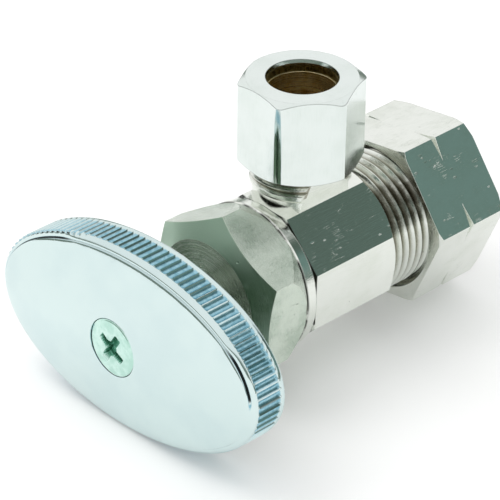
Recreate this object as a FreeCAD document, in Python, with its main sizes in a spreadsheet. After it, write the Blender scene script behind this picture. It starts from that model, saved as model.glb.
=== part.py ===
import FreeCAD, Part
import math
import os
import Sketcher
from FreeCAD import Placement, Rotation, Vector

# Angle stop valve: a 5/8 inch compression inlet on the +Y side, a 3/8 inch compression outlet
# on top and an oval handle on the -Y side.  Millimetres.  The origin is the centre of the
# inlet nut's outer face, +Y points along the supply pipe and +Z along the riser.

# Driving dimensions.  Lengths run along a piece's own axis, radii are measured from it.
SIZES = {
    # the two axes
    "outlet_reach": 28.6,          # inlet nut's outer face to the outlet axis
    # valve body
    "boss_radius": 8.9,            # front boss, which the bonnet nut screws over
    "boss_length": 2.8,
    "boss_reach": 12.2,            # end of the front boss to the outlet axis
    "collar_radius": 11.25,
    "collar_length": 2.0,
    "collar_edge": 0.35,
    "flats_across": 21.4,
    "flats_length": 16.4,
    "flats_turn": 21.0,            # turn of the first corner from the X axis
    "flats_front_bevel": 0.15,
    "flats_rear_bevel": 1.1,
    "barrel_radius": 10.32,        # 13/16-18 thread
    "barrel_length": 9.5,
    "barrel_pitch": 1.411,
    "neck_radius": 7.144,          # 9/16-24 thread
    "neck_pitch": 1.058,
    "neck_collar_radius": 6.75,
    "neck_collar_top": 12.7,
    "neck_top": 19.3,
    "neck_flat_low": 4.7,          # half width across the neck's flats where they leave the body
    "neck_flat_high": 6.3,         # and at the top of the neck
    "thread_lead_in": 0.45,        # shoulder to the middle of a thread's first groove
    "stem_bore": 4.8,
    "stem_bore_length": 8.2,
    "chamber_radius": 6.5,
    "seat_station": 15.5,          # front boss end to the seat's lip
    "seat_radius": 3.2,
    "seat_lip_radius": 3.9,
    "seat_lip_height": 0.8,
    "inlet_waterway": 5.6,
    "inlet_socket": 8.05,          # slip fit on a 15.875 mm tube
    "inlet_stop": 21.2,            # front boss end to the face that stops the tube
    "inlet_cone": 9.2,
    "inlet_cone_length": 1.7,
    "outlet_port": 3.5,
    "outlet_socket": 4.85,         # slip fit on a 9.525 mm tube
    "outlet_stop": 12.8,
    "outlet_cone": 5.75,
    "outlet_cone_length": 1.3,
    # inlet nut
    "inlet_nut_across": 23.8,
    "inlet_nut_length": 13.35,
    "inlet_nut_turn": 7.0,
    "inlet_nut_wall": 2.0,
    "inlet_nut_bore": 10.42,
    "inlet_nut_bore_length": 9.0,
    "inlet_nut_mouth": 11.2,
    "inlet_nut_nick_station": 6.3,
    "inlet_nut_nick_width": 0.6,
    "inlet_nut_nick_radius": 12.35,
    # outlet nut
    "outlet_nut_across": 15.875,
    "outlet_nut_length": 13.05,
    "outlet_nut_bottom": 15.4,     # outlet axis height of the nut's lower face
    "outlet_nut_turn": 54.2,
    "outlet_nut_corner": 1.3,
    "outlet_nut_wall": 1.7,
    "outlet_nut_hole": 4.95,
    "outlet_nut_countersink": 0.15,
    "outlet_nut_bore": 7.25,
    "outlet_nut_bore_length": 9.9,
    # compression sleeves
    "inlet_sleeve_radius": 9.35,
    "inlet_sleeve_length": 6.4,
    "inlet_sleeve_inset": 2.4,     # nut's outer face to the sleeve
    "outlet_sleeve_radius": 5.7,
    "outlet_sleeve_length": 5.7,
    "outlet_sleeve_inset": 1.8,
    # bonnet nut
    "bonnet_across": 22.3,
    "bonnet_length": 8.5,
    "bonnet_turn": 26.5,
    "bonnet_face_radius": 9.0,
    "bonnet_cone_slope": 0.55,     # length over radius of the cone on the front corners
    "bonnet_rear_cone": 5.2,       # its length, to 1 mm outside the corners
    "bonnet_wall": 2.0,
    "bonnet_bore": 9.0,
    "bonnet_hole": 3.75,
    # packing
    "packing_radius": 8.85,
    "packing_length": 2.2,
    "packing_bore": 3.54,
    "washer_length": 0.7,
    "washer_bore": 3.7,
    # stem
    "stem_radius": 3.5,
    "stem_thread_radius": 4.72,
    "stem_square": 5.0,
    "stem_square_length": 8.0,
    "stem_shaft_length": 13.1,
    "stem_thread_length": 5.3,
    "stem_nose_radius": 4.1,
    "stem_nose_length": 2.2,
    "stem_front": 5.2,             # bonnet nut's face to the front end of the stem's square
    "stem_tap": 1.6,
    # seat washer and its screw
    "disc_radius": 4.6,
    "disc_length": 2.4,
    "disc_bore": 1.7,
    "disc_screw_radius": 1.55,
    "disc_screw_head": 2.5,
    "disc_screw_head_length": 1.1,
    "disc_screw_length": 6.5,
    "disc_screw_slot_width": 0.6,
    "disc_screw_slot_depth": 0.5,
    # handle
    "handle_long": 25.45,
    "handle_short": 14.3,
    "handle_turn": 3.0,
    "handle_front": 17.75,         # bonnet nut's face to the handle's crown
    "dome_height": 2.3,
    "dome_depth": 6.0,             # half depth of the ellipsoid that the dome is a cap of
    "rim_start": 2.5,
    "rim_length": 5.4,
    "rim_bevel": 1.1,
    "rim_wall": 2.0,
    "face_wall": 2.2,
    "hub_radius": 5.4,
    "hub_end": 12.5,
    "hub_square": 5.1,
    "hub_web": 2.4,                # metal between the screw's head and the square hole
    # handle screw
    "screw_head_radius": 4.25,
    "screw_head_length": 1.5,
    "screw_shank_radius": 1.55,
    "screw_length": 9.0,
    "screw_seat_radius": 4.4,
    "screw_slot_width": 1.1,
    "screw_slot_length": 4.6,
    "screw_slot_depth": 1.0,
    "screw_slot_turn": 58.0,
}

FULL_TURN = 360.0
HEX = 6
OCTAGON = 8
HEX_CORNER = "cos(30)"
CHAMFER_SLOPE = "0.577"            # tangent of a nut's 30 degree chamfer
THREAD_DEPTH = 0.62                # groove depth, as a share of the pitch
THREAD_ROOT = 0.06                 # half width at the groove's root
THREAD_MOUTH = 0.588               # half width where the cutting profile ends
THREAD_OVERCUT = 0.2               # how far outside the crest that is
CLEARANCE_OUT = 1.0                # how far a cutting profile reaches past the surface it cuts

doc = FreeCAD.newDocument("angle_stop_valve")
sheet = doc.addObject("Spreadsheet::Sheet", "sizes")
SUB_PARTS = []


def fill_sheet():
    for row, (name, value) in enumerate(SIZES.items(), start=1):
        sheet.set("A%d" % row, name)
        sheet.set("B%d" % row, str(value))
        sheet.setAlias("B%d" % row, name)
    doc.recompute()


def number(expression):
    return float(sheet.evalExpression(expression))


# ---------------------------------------------------------------- helpers

def new_body(name, along=None, up=None):
    """A body whose place is its distance along Y and its height, both as expressions."""
    body = doc.addObject("PartDesign::Body", name)
    body.Label = name
    if along:
        body.setExpression(".Placement.Base.y", along)
    if up:
        body.setExpression(".Placement.Base.z", up)
    SUB_PARTS.append(body)
    return body


def origin_plane(body, role):
    return next(item for item in body.Origin.OriginFeatures if item.Role == role)


def new_sketch(body, role, name, shift=None):
    sketch = body.newObject("Sketcher::SketchObject", name)
    sketch.AttachmentSupport = [(origin_plane(body, role), "")]
    sketch.MapMode = "FlatFace"
    if shift:
        sketch.setExpression(".AttachmentOffset.Base.x", shift)
    return sketch


def pin_corner(sketch, corner, kind, axis, expression):
    value = number(expression)
    if abs(value) < 1e-9:
        sketch.addConstraint(Sketcher.Constraint("PointOnObject", corner, 1, axis))
        return
    index = sketch.addConstraint(Sketcher.Constraint(kind, -1, 1, corner, 1, value))
    sketch.setExpression("Constraints[%d]" % index, expression)


def draw_outline(sketch, corners):
    """A closed outline.  Each corner is a pair of expressions, across and up the sketch."""
    first = sketch.GeometryCount
    places = [Vector(number(across), number(up), 0) for across, up in corners]
    count = len(places)
    for index, place in enumerate(places):
        sketch.addGeometry(Part.LineSegment(place, places[(index + 1) % count]), False)
    for index in range(count):
        follower = first + (index + 1) % count
        sketch.addConstraint(Sketcher.Constraint("Coincident", first + index, 2, follower, 1))
    for index, (across, up) in enumerate(corners):
        pin_corner(sketch, first + index, "DistanceX", -2, across)
        pin_corner(sketch, first + index, "DistanceY", -1, up)


def turned(body, kind, name, corners, axis="H_Axis", role="YZ_Plane", shift=None):
    """A Revolution or a Groove of an outline about one axis of its sketch."""
    sketch = new_sketch(body, role, name + "_outline", shift)
    draw_outline(sketch, corners)
    feature = body.newObject("PartDesign::" + kind, name)
    feature.Profile = sketch
    feature.ReferenceAxis = (sketch, [axis])
    feature.Angle = FULL_TURN
    return feature


def prism(body, name, sides, across, length, turn, role, start=None):
    feature = body.newObject("PartDesign::AdditivePrism", name)
    feature.AttachmentSupport = [(origin_plane(body, role), "")]
    feature.MapMode = "FlatFace"
    feature.Polygon = sides
    feature.setExpression("Circumradius", "%s / 2 / cos(180 / %d)" % (across, sides))
    feature.setExpression("Height", length)
    feature.AttachmentOffset = Placement(Vector(), Rotation(Vector(0, 0, 1), number(turn)))
    if start:
        feature.setExpression(".AttachmentOffset.Base.z", start)
    return feature


def cut_thread(body, name, start, radius, pitch, length, shift=None, upright=False):
    """A V groove that runs round as a right-hand helix and out past the end of the thread."""
    outer = "%s + %s * %s" % (radius, pitch, THREAD_OVERCUT)
    inner = "%s - %s * %s" % (radius, pitch, THREAD_DEPTH)
    wide = "%s * %s" % (pitch, THREAD_MOUTH)
    narrow = "%s * %s" % (pitch, THREAD_ROOT)
    corners = [
        ("%s - %s" % (start, wide), outer),
        ("%s + %s" % (start, wide), outer),
        ("%s + %s" % (start, narrow), inner),
        ("%s - %s" % (start, narrow), inner),
    ]
    if upright:
        corners = [(out, along) for along, out in corners]
    sketch = new_sketch(body, "YZ_Plane", name + "_outline", shift)
    draw_outline(sketch, corners)
    feature = body.newObject("PartDesign::SubtractiveHelix", name)
    feature.Profile = sketch
    feature.ReferenceAxis = (sketch, ["V_Axis" if upright else "H_Axis"])
    feature.setExpression("Pitch", pitch)
    feature.setExpression("Height", length)
    feature.Angle = 0
    feature.LeftHanded = False
    return feature


# ---------------------------------------------------------------- valve body

def add_valve_body():
    body = new_body("valve_body", along="-sizes.outlet_reach - sizes.boss_reach")
    collar = "sizes.boss_length"
    flats = "(sizes.boss_length + sizes.collar_length)"
    barrel = "(sizes.boss_length + sizes.collar_length + sizes.flats_length)"
    end = "(%s + sizes.barrel_length)" % barrel
    turned(body, "Revolution", "turned_body", [
        ("0", "0"),
        ("0", "sizes.boss_radius - 0.5"),
        ("0.5", "sizes.boss_radius"),
        (collar, "sizes.boss_radius"),
        (collar, "sizes.collar_radius - sizes.collar_edge"),
        (collar + " + sizes.collar_edge", "sizes.collar_radius"),
        (flats + " - sizes.collar_edge", "sizes.collar_radius"),
        (flats + " - sizes.collar_edge / 3", "sizes.collar_radius - sizes.collar_edge / 3"),
        (flats, "sizes.collar_radius - sizes.collar_edge"),
        (flats, "sizes.barrel_radius"),
        (end + " - 0.8", "sizes.barrel_radius"),
        (end, "sizes.barrel_radius - 0.8"),
        (end, "0"),
    ])
    prism(body, "bar_flats", OCTAGON, "sizes.flats_across", "sizes.flats_length + 0.5",
          "sizes.flats_turn", "XZ_Plane", start="-%s" % barrel)
    corner = "sizes.flats_across / 2 / cos(22.5)"
    edge = "%s + %s" % (corner, CLEARANCE_OUT)
    turned(body, "Groove", "front_bevel", [
        (flats + " - 0.6", "sizes.collar_radius"),
        (flats, "sizes.collar_radius"),
        (flats + " + sizes.flats_front_bevel", corner),
        (flats + " + sizes.flats_front_bevel", edge),
        (flats + " - 0.6", edge),
    ])
    turned(body, "Groove", "rear_bevel", [
        (barrel + " + 0.5", "%s - sizes.flats_rear_bevel" % corner),
        (barrel, "%s - sizes.flats_rear_bevel" % corner),
        (barrel + " - sizes.flats_rear_bevel", corner),
        (barrel + " - sizes.flats_rear_bevel", edge),
        (barrel + " + 0.5", edge),
    ])
    add_neck(body)
    cut_thread(body, "inlet_thread", barrel + " + sizes.thread_lead_in",
               "sizes.barrel_radius", "sizes.barrel_pitch",
               "sizes.barrel_length + sizes.barrel_pitch")
    cut_thread(body, "outlet_thread", "sizes.neck_collar_top + sizes.thread_lead_in",
               "sizes.neck_radius", "sizes.neck_pitch",
               "sizes.neck_top - sizes.neck_collar_top + sizes.neck_pitch",
               shift="sizes.boss_reach", upright=True)
    cut_waterway(body, end)


def add_neck(body):
    """The outlet neck: a plain collar, then the threaded part, with two slanting flats."""
    turned(body, "Revolution", "neck", [
        ("0", "2"),
        ("sizes.neck_collar_radius", "2"),
        ("sizes.neck_collar_radius", "sizes.neck_collar_top - 0.45"),
        ("sizes.neck_radius", "sizes.neck_collar_top"),
        ("sizes.neck_radius", "sizes.neck_top - 0.5"),
        ("sizes.neck_radius - 0.5", "sizes.neck_top"),
        ("0", "sizes.neck_top"),
    ], axis="V_Axis", shift="sizes.boss_reach")
    cut_neck_flat(body, "right", 0, "(sizes.flats_turn + 22.5)")
    cut_neck_flat(body, "left", 180, "(67.5 - sizes.flats_turn)")


def cut_neck_flat(body, side, turn, slope):
    """A flat on one side of the neck, down to the bar's slanting flat on that side."""
    facet = "(sizes.flats_across / 2 - (%s) * cos(%s)) / sin(%s)"
    top = "sizes.neck_top"
    outside = "sizes.neck_radius + %s" % CLEARANCE_OUT
    sketch = new_sketch(body, "XZ_Plane", side + "_neck_flat_outline")
    sketch.AttachmentOffset = Placement(Vector(), Rotation(Vector(0, 1, 0), turn))
    sketch.setExpression(".AttachmentOffset.Base.z", "-sizes.boss_reach")
    draw_outline(sketch, [
        ("sizes.neck_flat_low", facet % ("sizes.neck_flat_low", slope, slope)),
        (outside, facet % (outside, slope, slope)),
        (outside, top),
        ("sizes.neck_flat_high", top),
    ])
    pocket = body.newObject("PartDesign::Pocket", side + "_neck_flat")
    pocket.Profile = sketch
    pocket.Midplane = True
    pocket.setExpression("Length", "sizes.neck_radius * 2 + 1")


def cut_waterway(body, end):
    """Stem bore, chamber, seat, inlet socket, and the outlet's port and socket."""
    lip = "sizes.seat_station"
    turned(body, "Groove", "stem_bore", [
        ("0", "0"),
        ("0", "sizes.stem_bore + 0.5"),
        ("0.5", "sizes.stem_bore"),
        ("sizes.stem_bore_length", "sizes.stem_bore"),
        ("sizes.stem_bore_length", "sizes.chamber_radius"),
        (lip + " + sizes.seat_lip_height", "sizes.chamber_radius"),
        (lip + " + sizes.seat_lip_height", "sizes.seat_lip_radius"),
        (lip, "sizes.seat_lip_radius - 0.2"),
        (lip, "sizes.seat_radius"),
        (lip + " + 2.2", "sizes.seat_radius"),
        (lip + " + 3.2", "sizes.inlet_waterway"),
        ("sizes.inlet_stop", "sizes.inlet_waterway"),
        ("sizes.inlet_stop", "sizes.inlet_socket"),
        (end + " - sizes.inlet_cone_length", "sizes.inlet_socket"),
        (end, "sizes.inlet_cone"),
        (end, "0"),
    ])
    turned(body, "Groove", "outlet_port", [
        ("0", "sizes.chamber_radius - 2.5"),
        ("sizes.outlet_port", "sizes.chamber_radius - 2.5"),
        ("sizes.outlet_port", "sizes.outlet_stop"),
        ("sizes.outlet_socket", "sizes.outlet_stop"),
        ("sizes.outlet_socket", "sizes.neck_top - sizes.outlet_cone_length"),
        ("sizes.outlet_cone", "sizes.neck_top"),
        ("0", "sizes.neck_top"),
    ], axis="V_Axis", shift="sizes.boss_reach")


# ---------------------------------------------------------------- compression joints

def chamfer_nut(body, length, across, low_face, high_face, upright):
    """The conical faces turned on both ends of a hexagon, each from its own face radius."""
    edge = "(%s / 2 / %s + %s)" % (across, HEX_CORNER, CLEARANCE_OUT)
    low = "(%s - (%s)) * %s" % (edge, low_face, CHAMFER_SLOPE)
    high = "(%s - (%s)) * %s" % (edge, high_face, CHAMFER_SLOPE)
    ends = {
        "low_chamfer": [("0", low_face), (low, edge), ("0", edge)],
        "high_chamfer": [(length, high_face), (length, edge), ("%s - %s" % (length, high), edge)],
    }
    for name, corners in ends.items():
        if upright:
            corners = [(out, along) for along, out in corners]
        turned(body, "Groove", name, corners, axis="V_Axis" if upright else "H_Axis")


def add_inlet_nut():
    length = "sizes.inlet_nut_length"
    across = "sizes.inlet_nut_across"
    corner = "%s / 2 / %s" % (across, HEX_CORNER)
    body = new_body("inlet_nut", along="-sizes.inlet_nut_length")
    prism(body, "hexagon", HEX, across, length, "sizes.inlet_nut_turn", "XZ_Plane",
          start="-" + length)
    chamfer_nut(body, length, across, "%s - 0.6" % corner, "%s - 1" % corner, False)
    nick = "sizes.inlet_nut_nick_station"
    turned(body, "Groove", "corner_nick", [
        (nick, "sizes.inlet_nut_nick_radius"),
        (nick + " + sizes.inlet_nut_nick_width", corner + " + 0.6"),
        (nick + " - sizes.inlet_nut_nick_width", corner + " + 0.6"),
    ])
    bore_end = "sizes.inlet_nut_bore_length"
    wall = length + " - sizes.inlet_nut_wall"
    turned(body, "Groove", "bore", [
        ("0", "0"),
        ("0", "sizes.inlet_nut_mouth"),
        ("sizes.inlet_nut_mouth - sizes.inlet_nut_bore", "sizes.inlet_nut_bore"),
        (bore_end, "sizes.inlet_nut_bore"),
        (bore_end + " + 0.9", "sizes.inlet_sleeve_radius + 0.1"),
        (wall + " - 1.1", "sizes.inlet_sleeve_radius + 0.1"),
        (wall, "sizes.inlet_socket"),
        (length, "sizes.inlet_socket"),
        (length, "0"),
    ])


def fillet_upright_edges(body, base, radius):
    """Round the edges of a prism that run along Z."""
    doc.recompute()
    names = []
    for index, edge in enumerate(base.Shape.Edges, start=1):
        run = edge.Vertexes[-1].Point - edge.Vertexes[0].Point
        if abs(run.z) > 1 and math.hypot(run.x, run.y) < 1e-6:
            names.append("Edge%d" % index)
    feature = body.newObject("PartDesign::Fillet", "rounded_corners")
    feature.Base = (base, names)
    feature.setExpression("Radius", radius)
    return feature


def add_outlet_nut():
    length = "sizes.outlet_nut_length"
    across = "sizes.outlet_nut_across"
    body = new_body("outlet_nut", along="-sizes.outlet_reach", up="sizes.outlet_nut_bottom")
    base = prism(body, "hexagon", HEX, across, length, "sizes.outlet_nut_turn", "XY_Plane")
    fillet_upright_edges(body, base, "sizes.outlet_nut_corner")
    chamfer_nut(body, length, across, "%s / 2 - 0.35" % across, "%s / 2 - 0.1" % across, True)
    wall = length + " - sizes.outlet_nut_wall"
    bore_end = "sizes.outlet_nut_bore_length"
    turned(body, "Groove", "bore", [
        ("0", "0"),
        ("sizes.outlet_nut_bore + 0.5", "0"),
        ("sizes.outlet_nut_bore", "0.5"),
        ("sizes.outlet_nut_bore", bore_end),
        ("sizes.outlet_sleeve_radius + 0.1", bore_end + " + 0.9"),
        ("sizes.outlet_nut_hole + 0.25", wall),
        ("sizes.outlet_nut_hole", wall),
        ("sizes.outlet_nut_hole", length + " - 0.5"),
        ("sizes.outlet_nut_hole + sizes.outlet_nut_countersink", length),
        ("0", length),
    ], axis="V_Axis")


def add_sleeve(name, side, along, up, upright):
    """A compression sleeve: a short tube with both ends turned to a cone."""
    bore = "sizes.%s_socket" % side
    outer = "sizes.%s_sleeve_radius" % side
    length = "sizes.%s_sleeve_length" % side
    tip = "(%s + 0.3)" % bore
    taper = "(%s - %s) * 1.1" % (outer, tip)
    corners = [
        ("0", bore),
        ("0", tip),
        (taper, outer),
        ("%s - %s" % (length, taper), outer),
        (length, tip),
        (length, bore),
    ]
    if upright:
        corners = [(out, along_axis) for along_axis, out in corners]
    body = new_body(name, along=along, up=up)
    turned(body, "Revolution", "sleeve", corners, axis="V_Axis" if upright else "H_Axis")


# ---------------------------------------------------------------- bonnet and packing

def add_bonnet_nut():
    length = "sizes.bonnet_length"
    across = "sizes.bonnet_across"
    corner = "(%s / 2 / %s)" % (across, HEX_CORNER)
    face = "-sizes.outlet_reach - sizes.boss_reach + sizes.boss_length - sizes.bonnet_length"
    body = new_body("bonnet_nut", along=face)
    prism(body, "hexagon", HEX, across, length, "sizes.bonnet_turn", "XZ_Plane",
          start="-" + length)
    edge = "(%s + %s)" % (corner, CLEARANCE_OUT)
    rise = "(%s - sizes.bonnet_face_radius) * sizes.bonnet_cone_slope" % edge
    turned(body, "Groove", "front_cone", [
        ("0", "sizes.bonnet_face_radius"),
        (rise, edge),
        ("0", edge),
    ])
    turned(body, "Groove", "rear_cone", [
        (length, "%s / 2 + 0.05" % across),
        (length, edge),
        (length + " - sizes.bonnet_rear_cone", edge),
    ])
    turned(body, "Groove", "bore", [
        ("0", "0"),
        ("0", "sizes.bonnet_hole + 0.6"),
        ("0.6", "sizes.bonnet_hole"),
        ("sizes.bonnet_wall", "sizes.bonnet_hole"),
        ("sizes.bonnet_wall", "sizes.bonnet_bore"),
        (length, "sizes.bonnet_bore"),
        (length, "0"),
    ])


def add_ring(name, along, length, inner, outer):
    body = new_body(name, along=along)
    turned(body, "Revolution", "ring", [
        ("0", inner),
        ("0", outer),
        (length, outer),
        (length, inner),
    ])


def add_packing():
    """From the front: a brass washer, the packing and a second washer on the boss's end."""
    boss_end = "-sizes.outlet_reach - sizes.boss_reach"
    washer = "sizes.washer_length"
    outer = "sizes.packing_radius"
    add_ring("packing_washer_inner", "%s - %s" % (boss_end, washer), washer,
             "sizes.washer_bore", outer)
    add_ring("packing_ring", "%s - %s - sizes.packing_length" % (boss_end, washer),
             "sizes.packing_length", "sizes.packing_bore", outer)
    add_ring("packing_washer_outer", "%s - 2 * %s - sizes.packing_length" % (boss_end, washer),
             washer, "sizes.washer_bore", outer)


# ---------------------------------------------------------------- stem

BONNET_FACE = ("-sizes.outlet_reach - sizes.boss_reach + sizes.boss_length"
               " - sizes.bonnet_length")
STEM_FRONT = BONNET_FACE + " - sizes.stem_square_length - sizes.stem_front"
STEM_LENGTH = ("(sizes.stem_square_length + sizes.stem_shaft_length"
               " + sizes.stem_thread_length + sizes.stem_nose_length)")


def add_stem():
    body = new_body("stem", along=STEM_FRONT)
    shaft = "sizes.stem_square_length"
    thread = "(sizes.stem_square_length + sizes.stem_shaft_length)"
    nose = "(%s + sizes.stem_thread_length)" % thread
    turned(body, "Revolution", "turned_stem", [
        (shaft, "0"),
        (shaft, "sizes.stem_radius"),
        (thread + " - 0.3", "sizes.stem_radius"),
        (thread + " - 0.3", "sizes.stem_thread_radius - 0.6"),
        (thread + " + 0.3", "sizes.stem_thread_radius"),
        (nose + " - 0.3", "sizes.stem_thread_radius"),
        (nose, "sizes.stem_nose_radius"),
        (STEM_LENGTH, "sizes.stem_nose_radius"),
        (STEM_LENGTH, "0"),
    ])
    prism(body, "square_end", 4, "sizes.stem_square", "sizes.stem_square_length + 1",
          "sizes.handle_turn + 45", "XZ_Plane", start="-sizes.stem_square_length - 1")
    tap = "sizes.stem_tap"
    turned(body, "Groove", "handle_screw_hole", [
        ("0", "0"),
        ("0", tap),
        ("sizes.screw_length", tap),
        ("sizes.screw_length", "0"),
    ])
    turned(body, "Groove", "disc_screw_hole", [
        (STEM_LENGTH + " - 5", "0"),
        (STEM_LENGTH + " - 5", "sizes.disc_screw_radius + 0.05"),
        (STEM_LENGTH, "sizes.disc_screw_radius + 0.05"),
        (STEM_LENGTH, "0"),
    ])


def add_seat_washer():
    body = new_body("seat_washer", along="%s + %s + 0.02" % (STEM_FRONT, STEM_LENGTH))
    turned(body, "Revolution", "disc", [
        ("0", "sizes.disc_bore"),
        ("0", "sizes.disc_radius"),
        ("sizes.disc_length - 0.3", "sizes.disc_radius"),
        ("sizes.disc_length", "sizes.disc_radius - 0.3"),
        ("sizes.disc_length", "sizes.disc_bore"),
    ])


def add_seat_washer_screw():
    """Its head stands just off the rubber, so the washer is free to stop while the stem turns."""
    head = "(sizes.disc_screw_length - sizes.disc_screw_head_length)"
    body = new_body("seat_washer_screw",
                    along="%s + %s + sizes.disc_length + 0.06 - %s" % (
                        STEM_FRONT, STEM_LENGTH, head))
    turned(body, "Revolution", "screw", [
        ("0", "0"),
        ("0", "sizes.disc_screw_radius - 0.4"),
        ("0.4", "sizes.disc_screw_radius"),
        (head, "sizes.disc_screw_radius"),
        (head, "sizes.disc_screw_head"),
        ("sizes.disc_screw_length - 0.4", "sizes.disc_screw_head"),
        ("sizes.disc_screw_length", "sizes.disc_screw_head - 0.5"),
        ("sizes.disc_screw_length", "0"),
    ])
    sketch = new_sketch(body, "XZ_Plane", "slot_outline")
    sketch.setExpression(".AttachmentOffset.Base.z", "-sizes.disc_screw_length")
    across = "(sizes.disc_screw_head + 1)"
    width = "sizes.disc_screw_slot_width"
    draw_outline(sketch, [("0", "0"), (across, "0"), (across, width), ("0", width)])
    sketch.setExpression(".AttachmentOffset.Base.x", "-%s / 2" % across)
    sketch.setExpression(".AttachmentOffset.Base.y", "-%s / 2" % width)
    slot = body.newObject("PartDesign::Pocket", "slot")
    slot.Profile = sketch
    slot.setExpression("Length", "sizes.disc_screw_slot_depth")


# ---------------------------------------------------------------- handle

HANDLE_FRONT = BONNET_FACE + " - sizes.handle_front"


def oval(name, long_radius, short_radius, start, length):
    """An upright oval column along +Y: its start and length are measured from the crown."""
    edge = doc.addObject("Part::Ellipse", name + "_edge")
    edge.setExpression("MajorRadius", long_radius)
    edge.setExpression("MinorRadius", short_radius)
    edge.Placement = Placement(Vector(), Rotation(Vector(1, 0, 0), 90))
    edge.setExpression(".Placement.Base.y", start)
    column = doc.addObject("Part::Extrusion", name)
    column.Base = edge
    column.DirMode = "Custom"
    column.Dir = Vector(0, 1, 0)
    column.Solid = True
    column.setExpression("LengthFwd", length)
    return column, edge


def cylinder(name, radius, start, length):
    column = doc.addObject("Part::Cylinder", name)
    column.setExpression("Radius", radius)
    column.setExpression("Height", length)
    column.Placement = Placement(Vector(), Rotation(Vector(1, 0, 0), -90))
    column.setExpression(".Placement.Base.y", start)
    return column


def combine(kind, name, first, second):
    feature = doc.addObject("Part::" + kind, name)
    feature.Base = first
    feature.Tool = second
    return feature


def add_handle():
    """A domed oval face, a bevel, a straight rim that is hollow behind, and a square-holed hub."""
    face_long = "sizes.handle_long - sizes.rim_bevel"
    face_short = "sizes.handle_short - sizes.rim_bevel"
    scale = "sqrt(1 - ((sizes.dome_depth - sizes.dome_height) / sizes.dome_depth) ^ 2)"
    ball = doc.addObject("Part::Ellipsoid", "dome_ellipsoid")
    ball.Angle1 = -90
    ball.setExpression("Radius1", "(%s) / %s" % (face_short, scale))
    ball.setExpression("Radius2", "(%s) / %s" % (face_long, scale))
    ball.setExpression("Radius3", "sizes.dome_depth")
    ball.setExpression(".Placement.Base.y", "sizes.dome_depth")
    face, _ = oval("face_column", face_long, face_short, "-1", "sizes.rim_start + 2")
    dome = combine("Common", "dome", ball, face)
    rim, rim_edge = oval("rim", "sizes.handle_long", "sizes.handle_short",
                         "sizes.rim_start + 0.5", "sizes.rim_length - 0.5")
    _, face_edge = oval("bevel_start", face_long, face_short, "sizes.dome_height - 0.15", "1")
    bevel = doc.addObject("Part::Loft", "bevel")
    bevel.Sections = [face_edge, rim_edge]
    bevel.Solid = True
    bevel.Ruled = True
    shell = combine("Fuse", "domed_rim", combine("Fuse", "rim_and_bevel", rim, bevel), dome)
    cavity, _ = oval("cavity", "sizes.handle_long - sizes.rim_wall",
                     "sizes.handle_short - sizes.rim_wall",
                     "sizes.rim_start + sizes.face_wall", "sizes.rim_length")
    hollow = combine("Cut", "hollow_shell", shell, cavity)
    hub = cylinder("hub", "sizes.hub_radius", "sizes.rim_start", "sizes.hub_end - sizes.rim_start")
    solid = combine("Fuse", "shell_and_hub", hollow, hub)
    square = doc.addObject("Part::Prism", "hub_square")
    square.Polygon = 4
    square.setExpression("Circumradius", "sizes.hub_square / 2 / cos(45)")
    square.setExpression("Height", "sizes.hub_end")
    square.Placement = Placement(Vector(), Rotation(Vector(1, 0, 0), -90)
                                 * Rotation(Vector(0, 0, 1), 45))
    square.setExpression(".Placement.Base.y", "sizes.screw_head_length + sizes.hub_web")
    counterbore = cylinder("screw_seat", "sizes.screw_seat_radius", "-1",
                           "sizes.screw_head_length + 1")
    clearance = cylinder("screw_clearance", "sizes.screw_shank_radius + 0.3", "0", "sizes.hub_end")
    bores = combine("Fuse", "screw_bores", counterbore, clearance)
    holes = combine("Fuse", "hub_holes", bores, square)
    handle = combine("Cut", "handle", solid, holes)
    handle.Label = "handle"
    turn = Rotation(Vector(0, 1, 0), -number("sizes.handle_turn"))
    handle.Placement = Placement(Vector(), turn)
    handle.setExpression(".Placement.Base.y", HANDLE_FRONT)
    SUB_PARTS.append(handle)


def add_handle_screw():
    body = new_body("handle_screw", along=HANDLE_FRONT + " - 0.1")
    head = "sizes.screw_head_length"
    turned(body, "Revolution", "screw", [
        ("0", "0"),
        ("0.05", "sizes.screw_head_radius - 1.2"),
        ("0.45", "sizes.screw_head_radius - 0.25"),
        ("0.8", "sizes.screw_head_radius"),
        (head, "sizes.screw_head_radius"),
        (head, "sizes.screw_shank_radius"),
        ("sizes.screw_length - 0.5", "sizes.screw_shank_radius"),
        ("sizes.screw_length", "sizes.screw_shank_radius - 0.5"),
        ("sizes.screw_length", "0"),
    ])
    long_side = "sizes.screw_slot_length"
    wide_side = "sizes.screw_slot_width"
    for name, across, up in (("level_slot", long_side, wide_side),
                             ("upright_slot", wide_side, long_side)):
        sketch = new_sketch(body, "XZ_Plane", name + "_outline")
        draw_outline(sketch, [("0", "0"), (across, "0"), (across, up), ("0", up)])
        turn = number("sizes.screw_slot_turn")
        sketch.AttachmentOffset = Placement(Vector(), Rotation(Vector(0, 0, 1), turn))
        shift = "-(%s * cos(%s) - %s * sin(%s)) / 2" % (across, turn, up, turn)
        rise = "-(%s * sin(%s) + %s * cos(%s)) / 2" % (across, turn, up, turn)
        sketch.setExpression(".AttachmentOffset.Base.x", shift)
        sketch.setExpression(".AttachmentOffset.Base.y", rise)
        slot = body.newObject("PartDesign::Pocket", name)
        slot.Profile = sketch
        slot.setExpression("Length", "sizes.screw_slot_depth")


# ---------------------------------------------------------------- whole valve

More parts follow.
